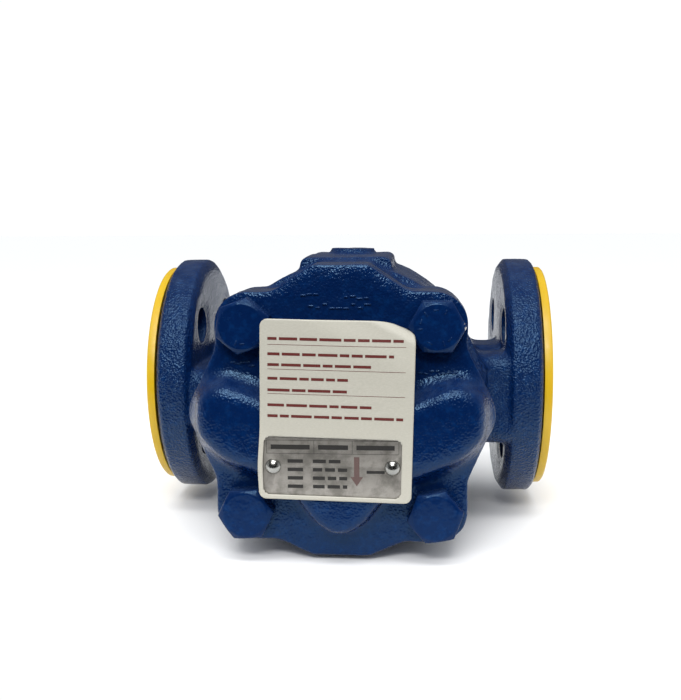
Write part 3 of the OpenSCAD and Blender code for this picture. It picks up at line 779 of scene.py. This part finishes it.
def add_stage():
    """A pale paper floor in a white light tent that is dark in front, with two soft boxes in front and above.

    The floor starts close in front of the trap, so the trap's front faces mirror the dark side.
    """
    low = cad_box[0][2] - 0.0004
    paper = Shader("backdrop_paper")
    paper.set(color=paper.mix(paper.noise(40, 4), (0.92, 0.92, 0.92), (0.94, 0.94, 0.94)), rough=0.9,
              specular=0.0)
    size, front = 8.0, cad_box[0][1] - 0.08
    mesh = bpy.data.meshes.new("floor")
    mesh.from_pydata([(-size, front, low), (size, front, low), (size, size, low), (-size, size, low)], [],
                     [(0, 1, 2, 3)])
    new_object("floor", mesh, paper.material)

    target = (MID_X, -0.05, 0.0)
    add_lamp("key", (MID_X - 0.03, -0.74, 0.55), 0.45, 0.17, 16.5, target)
    add_lamp("over", (MID_X, -0.46, 0.80), 0.7, 0.2, 8.5, target)

    world = bpy.data.worlds.new("light_tent")
    scene.world = world
    world.use_nodes = True
    tree = world.node_tree
    new, link = tree.nodes.new, tree.links.new
    direction = new("ShaderNodeSeparateXYZ")
    link(new("ShaderNodeTexCoord").outputs["Generated"], direction.inputs[0])

    def ramp(value, low_, high_, to_low, to_high):
        node = new("ShaderNodeMapRange")
        node.interpolation_type = "SMOOTHSTEP"
        link(value, node.inputs["Value"])
        for name, v in (("From Min", low_), ("From Max", high_), ("To Min", to_low), ("To Max", to_high)):
            node.inputs[name].default_value = v
        return node.outputs["Result"]

    above = ramp(direction.outputs["Z"], 0.2, 0.95, 0.0, 0.15)
    behind = ramp(direction.outputs["Y"], 0.3, 0.95, 0.006, 0.14)

    def combined(operation, a, b=0.0):
        node = new("ShaderNodeMath")
        node.operation = operation
        for socket, value in zip(node.inputs, (a, b)):
            if isinstance(value, float):
                socket.default_value = value
            else:
                link(value, socket)
        return node.outputs["Value"]

    sides = ramp(combined("ABSOLUTE", direction.outputs["X"]), 0.7, 0.97, 0.0, 0.7)
    mirrored = combined("ADD", combined("ADD", above, behind), sides)

    def background(strength):
        node = new("ShaderNodeBackground")
        node.inputs["Color"].default_value = (0.97, 0.985, 1.0, 1)
        if isinstance(strength, float):
            node.inputs["Strength"].default_value = strength
        else:
            link(strength, node.inputs["Strength"])
        return node.outputs["Background"]

    path = new("ShaderNodeLightPath")

    def choose(factor, other, chosen):
        node = new("ShaderNodeMixShader")
        link(factor, node.inputs["Fac"])
        link(other, node.inputs[1])
        link(chosen, node.inputs[2])
        return node.outputs["Shader"]

    soft = background(ramp(direction.outputs["Z"], -0.1, 0.8, 0.1, 1.28))
    lit = choose(path.outputs["Is Glossy Ray"], soft, background(mirrored))
    seen = choose(path.outputs["Is Camera Ray"], lit, background(1.05))
    link(seen, tree.nodes["World Output"].inputs["Surface"])
    scene.view_settings.view_transform = "Standard"


# ---------------------------------------------------------------- the scene
add_camera()
MATERIALS = {
    "body_paint": casting_paint("body_paint", 0.62, 0.8, 0.15, 0.5),
    "cover_paint": casting_paint("cover_paint", 0.26, 0.8, 0.15, 0.42),
    "bolt_paint": casting_paint("bolt_paint", 0.12, 1.1, 0.2, 0.24),
    "yellow": yellow_plastic(),
    "graphite": graphite(),
    "card": card(),
    "maroon_ink": ink("maroon_ink", (0.11, 0.014, 0.012), 0.5, 0.2),
    "black_ink": ink("black_ink", (0.014, 0.013, 0.012), 0.5, 0.25),
    "brown_ink": ink("brown_ink", (0.1, 0.06, 0.055), 0.5, 0.4),
    "plate": etched_plate(),
    "polished": metal("polished_steel", (0.78, 0.77, 0.75), 0.16),
    "rivet": metal("rivet_steel", (0.36, 0.36, 0.34), 0.2),
    "turned": metal("turned_steel", (0.6, 0.59, 0.57), 0.3, (1, 8, 1)),
    "pressed": metal("pressed_steel", (0.55, 0.54, 0.52), 0.34, (1, 1, 5)),
    "drawn": metal("drawn_steel", (0.66, 0.65, 0.63), 0.22, (4, 1, 1)),
}

make_body()
make_cast_marks(make_cover())
make_bolts()
make_label()
make_label_print()
make_nameplate()
refine("cover_gasket", "cover_gasket_ring", "trap", MATERIALS["graphite"], bevel=0.1)
refine("nameplate_rivets", "rivet_heads", "trap", MATERIALS["rivet"], bevel=0.1)
refine("inlet_flange_cap", "inlet_cap_moulding", "inlet_cap", MATERIALS["yellow"], bevel=0.4)
refine("outlet_flange_cap", "outlet_cap_moulding", "outlet_cap", MATERIALS["yellow"], bevel=0.4)
WORKS = (
    ("valve_seat", "trap", "turned"), ("valve_seat_gasket", "trap", "graphite"),
    ("erosion_deflector", "trap", "pressed"), ("pivot_frame", "trap", "pressed"),
    ("frame_screws", "trap", "turned"), ("pivot_pin", "trap", "drawn"),
    ("pivot_pin_clips", "trap", "pressed"),
    ("float_lever", "float_arm", "pressed"), ("ball_float", "float_arm", "polished"),
    ("valve_head", "float_arm", "turned"), ("valve_head_clip", "float_arm", "pressed"),
    ("vent_seat", "trap", "turned"), ("vent_seat_gasket", "trap", "graphite"),
    ("vent_capsule", "trap", "polished"), ("vent_valve", "vent_stem", "turned"),
    ("vent_clip", "trap", "pressed"), ("vent_clip_screws", "trap", "turned"),
)
for node, body, material in WORKS:
    refine(node, node + "_part", body, MATERIALS[material], bevel=0.15, segments=2)
add_stage()
